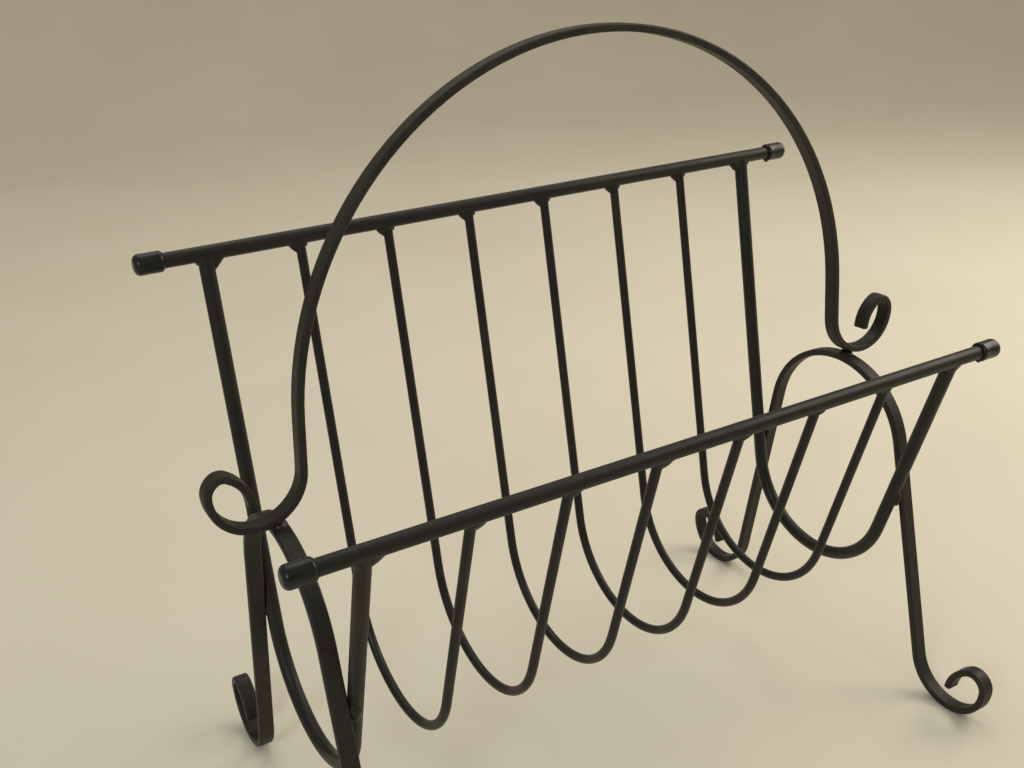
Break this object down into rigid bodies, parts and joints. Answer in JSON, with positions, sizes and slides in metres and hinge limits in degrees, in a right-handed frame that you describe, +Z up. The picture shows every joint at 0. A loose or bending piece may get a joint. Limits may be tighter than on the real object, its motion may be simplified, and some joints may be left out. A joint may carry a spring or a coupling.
{
  "type": "magazine rack",
  "caption": "Free-standing welded rod magazine rack with a high back rail, bent ribs, scroll-footed end arches and a tall arched carrying handle.",
  "frame": {"origin": "on the floor under the middle of the rack: bottom centre of the bounding box", "axes": "+X along the rails, +Y towards the high back rail, +Z up"},
  "size_m": [0.4402, 0.2664, 0.4147],
  "materials": {
    "black_steel": "satin black paint with a faint hammered texture",
    "weld_metal": "satin black paint over rough weld beads",
    "cap_rubber": "smooth semi-gloss black"
  },
  "bodies": {
    "root": {"rail_back": "black_steel", "rail_front": "black_steel", "rib_1": "black_steel", "rib_2": "black_steel", "rib_3": "black_steel", "rib_4": "black_steel", "rib_5": "black_steel", "rib_6": "black_steel", "rib_7": "black_steel", "rib_8": "black_steel", "arch_left": "black_steel", "arch_right": "black_steel", "handle": "black_steel", "weld_rib_1_back": "weld_metal", "weld_rib_2_back": "weld_metal", "weld_rib_3_back": "weld_metal", "weld_rib_4_back": "weld_metal", "weld_rib_5_back": "weld_metal", "weld_rib_6_back": "weld_metal", "weld_rib_7_back": "weld_metal", "weld_rib_8_back": "weld_metal", "weld_rib_1_front": "weld_metal", "weld_rib_2_front": "weld_metal", "weld_rib_3_front": "weld_metal", "weld_rib_4_front": "weld_metal", "weld_rib_5_front": "weld_metal", "weld_rib_6_front": "weld_metal", "weld_rib_7_front": "weld_metal", "weld_rib_8_front": "weld_metal", "weld_arch_back_left": "weld_metal", "weld_arch_back_right": "weld_metal", "weld_arch_front_left": "weld_metal", "weld_arch_front_right": "weld_metal", "weld_handle_left": "weld_metal", "weld_handle_right": "weld_metal", "cap_back_left": "cap_rubber", "cap_back_right": "cap_rubber", "cap_front_left": "cap_rubber", "cap_front_right": "cap_rubber"}
  },
  "joints": []
}
